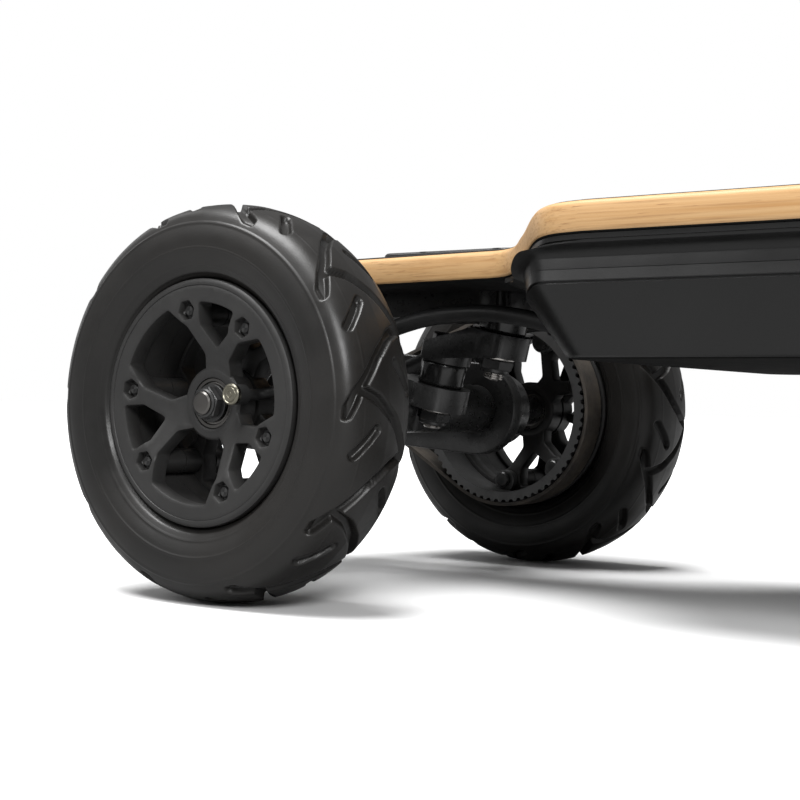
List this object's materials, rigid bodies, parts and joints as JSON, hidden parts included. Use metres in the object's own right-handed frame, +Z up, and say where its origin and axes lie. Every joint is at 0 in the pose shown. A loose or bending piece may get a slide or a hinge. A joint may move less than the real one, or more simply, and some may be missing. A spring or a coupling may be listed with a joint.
{
  "type": "electric skateboard",
  "caption": "All-terrain electric skateboard: bamboo deck over a black battery case, double-kingpin trucks, air-filled treaded tyres on spoked hubs, and belt-driven rear wheels.",
  "frame": {"origin": "on the floor, under the middle of the board", "axes": "+X along the deck away from the driven trucks, +Y to the rider's left when facing +X, +Z up"},
  "size_m": [0.996, 0.3162, 0.175],
  "materials": {
    "bamboo": "satin lacquered bamboo, long amber grain",
    "grip": "coarse black grit",
    "plate_black": "matt black moulded plate",
    "bolt_black": "black oxide steel",
    "case_plastic": "satin black moulded plastic",
    "battery_wrap": "heat-shrink wrap",
    "heat_sink": "bare extrusion",
    "button_metal": "brushed cap",
    "cable_jacket": "soft black jacket",
    "tyre": "dark warm grey rubber with a moulded tread",
    "tube_rubber": "butyl rubber",
    "hub_plastic": "matt black glass-filled nylon",
    "steel": "zinc-plated steel",
    "pulley_metal": "black anodised teeth",
    "truck_black": "satin black paint on forged aluminium",
    "urethane": "gloss black urethane",
    "belt_rubber": "toothed belt, tan-grey back",
    "motor_can": "dark anodised can"
  },
  "bodies": {
    "board": {"deck": "bamboo", "grip_tape": "grip", "top_plates": "plate_black", "truck_bolts": "bolt_black", "enclosure": "case_plastic", "case_screws": "bolt_black", "battery_pack": "battery_wrap", "motor_controller": "heat_sink", "charge_port": "case_plastic", "rear_baseplate": "truck_black", "rear_upper_kingpin": "steel", "rear_upper_bushing": "urethane", "front_baseplate": "truck_black", "front_upper_kingpin": "steel", "front_upper_bushing": "urethane"},
    "button": {"power_button": "button_metal"},
    "rear_link_arm": {"rear_link": "truck_black", "rear_lower_kingpin": "steel", "rear_lower_bushing": "urethane", "motor_cables": "cable_jacket"},
    "rear_axle_carrier": {"rear_hanger": "truck_black", "rear_axles": "steel", "right_motor_mount": "truck_black", "right_motor": "motor_can", "right_belt": "belt_rubber", "left_motor_mount": "truck_black", "left_motor": "motor_can", "left_belt": "belt_rubber"},
    "front_link_arm": {"front_link": "truck_black", "front_lower_kingpin": "steel", "front_lower_bushing": "urethane"},
    "front_axle_carrier": {"front_hanger": "truck_black", "front_axles": "steel"},
    "rear_right_wheel": {"rear_right_tyre": "tyre", "rear_right_inner_tube": "tube_rubber", "rear_right_outer_rim": "hub_plastic", "rear_right_inner_rim": "hub_plastic", "rear_right_hub_hardware": "steel", "right_drive_pulley": "pulley_metal"},
    "rear_left_wheel": {"rear_left_tyre": "tyre", "rear_left_inner_tube": "tube_rubber", "rear_left_outer_rim": "hub_plastic", "rear_left_inner_rim": "hub_plastic", "rear_left_hub_hardware": "steel", "left_drive_pulley": "pulley_metal"},
    "front_right_wheel": {"front_right_tyre": "tyre", "front_right_inner_tube": "tube_rubber", "front_right_outer_rim": "hub_plastic", "front_right_inner_rim": "hub_plastic", "front_right_hub_hardware": "steel"},
    "front_left_wheel": {"front_left_tyre": "tyre", "front_left_inner_tube": "tube_rubber", "front_left_outer_rim": "hub_plastic", "front_left_inner_rim": "hub_plastic", "front_left_hub_hardware": "steel"},
    "right_motor_shaft": {"right_rotor": "steel", "right_pinion": "steel"},
    "left_motor_shaft": {"left_rotor": "steel", "left_pinion": "steel"}
  },
  "joints": [
    {"name": "power_button_press", "type": "slide", "parent": "board", "child": "button", "axis": [0, -1, 0], "range_m": [0, 0.002], "stiffness_N_per_m": 600},
    {"name": "rear_upper_pivot", "type": "hinge", "parent": "board", "child": "rear_link_arm", "pos_m": [-0.32527, 0, 0.11386], "axis": [0.225, 0, 0.9744], "range_deg": [-8, 8], "stiffness_Nm_per_rad": 120},
    {"name": "rear_lower_pivot", "type": "hinge", "parent": "rear_link_arm", "child": "rear_axle_carrier", "pos_m": [-0.35894, 0, 0.09916], "axis": [0.225, 0, 0.9744], "range_deg": [-8, 8], "stiffness_Nm_per_rad": 120, "deforming": ["motor_cables"]},
    {"name": "rear_right_wheel_spin", "type": "hinge", "parent": "rear_axle_carrier", "child": "rear_right_wheel", "pos_m": [-0.38, -0.13305, 0.0875], "axis": [0, 1, 0], "continuous": true},
    {"name": "rear_left_wheel_spin", "type": "hinge", "parent": "rear_axle_carrier", "child": "rear_left_wheel", "pos_m": [-0.38, 0.13305, 0.0875], "axis": [0, 1, 0], "continuous": true},
    {"name": "front_upper_pivot", "type": "hinge", "parent": "board", "child": "front_link_arm", "pos_m": [0.32527, 0, 0.11386], "axis": [-0.225, 0, 0.9744], "range_deg": [-8, 8], "stiffness_Nm_per_rad": 120},
    {"name": "front_lower_pivot", "type": "hinge", "parent": "front_link_arm", "child": "front_axle_carrier", "pos_m": [0.35894, 0, 0.09916], "axis": [-0.225, 0, 0.9744], "range_deg": [-8, 8], "stiffness_Nm_per_rad": 120},
    {"name": "front_right_wheel_spin", "type": "hinge", "parent": "front_axle_carrier", "child": "front_right_wheel", "pos_m": [0.38, -0.13305, 0.0875], "axis": [0, 1, 0], "continuous": true},
    {"name": "front_left_wheel_spin", "type": "hinge", "parent": "front_axle_carrier", "child": "front_left_wheel", "pos_m": [0.38, 0.13305, 0.0875], "axis": [0, 1, 0], "continuous": true},
    {"name": "right_motor_spin", "type": "hinge", "parent": "rear_axle_carrier", "child": "right_motor_shaft", "pos_m": [-0.46806, -0.09, 0.0952], "axis": [0, 1, 0], "continuous": true},
    {"name": "left_motor_spin", "type": "hinge", "parent": "rear_axle_carrier", "child": "left_motor_shaft", "pos_m": [-0.46806, 0.09, 0.0952], "axis": [0, 1, 0], "continuous": true}
  ],
  "couplings": [
    {"joint": "rear_lower_pivot", "follows": "rear_upper_pivot", "ratio": 1},
    {"joint": "front_lower_pivot", "follows": "front_upper_pivot", "ratio": 1},
    {"joint": "right_motor_spin", "follows": "rear_right_wheel_spin", "ratio": 4.125},
    {"joint": "left_motor_spin", "follows": "rear_left_wheel_spin", "ratio": 4.125}
  ]
}
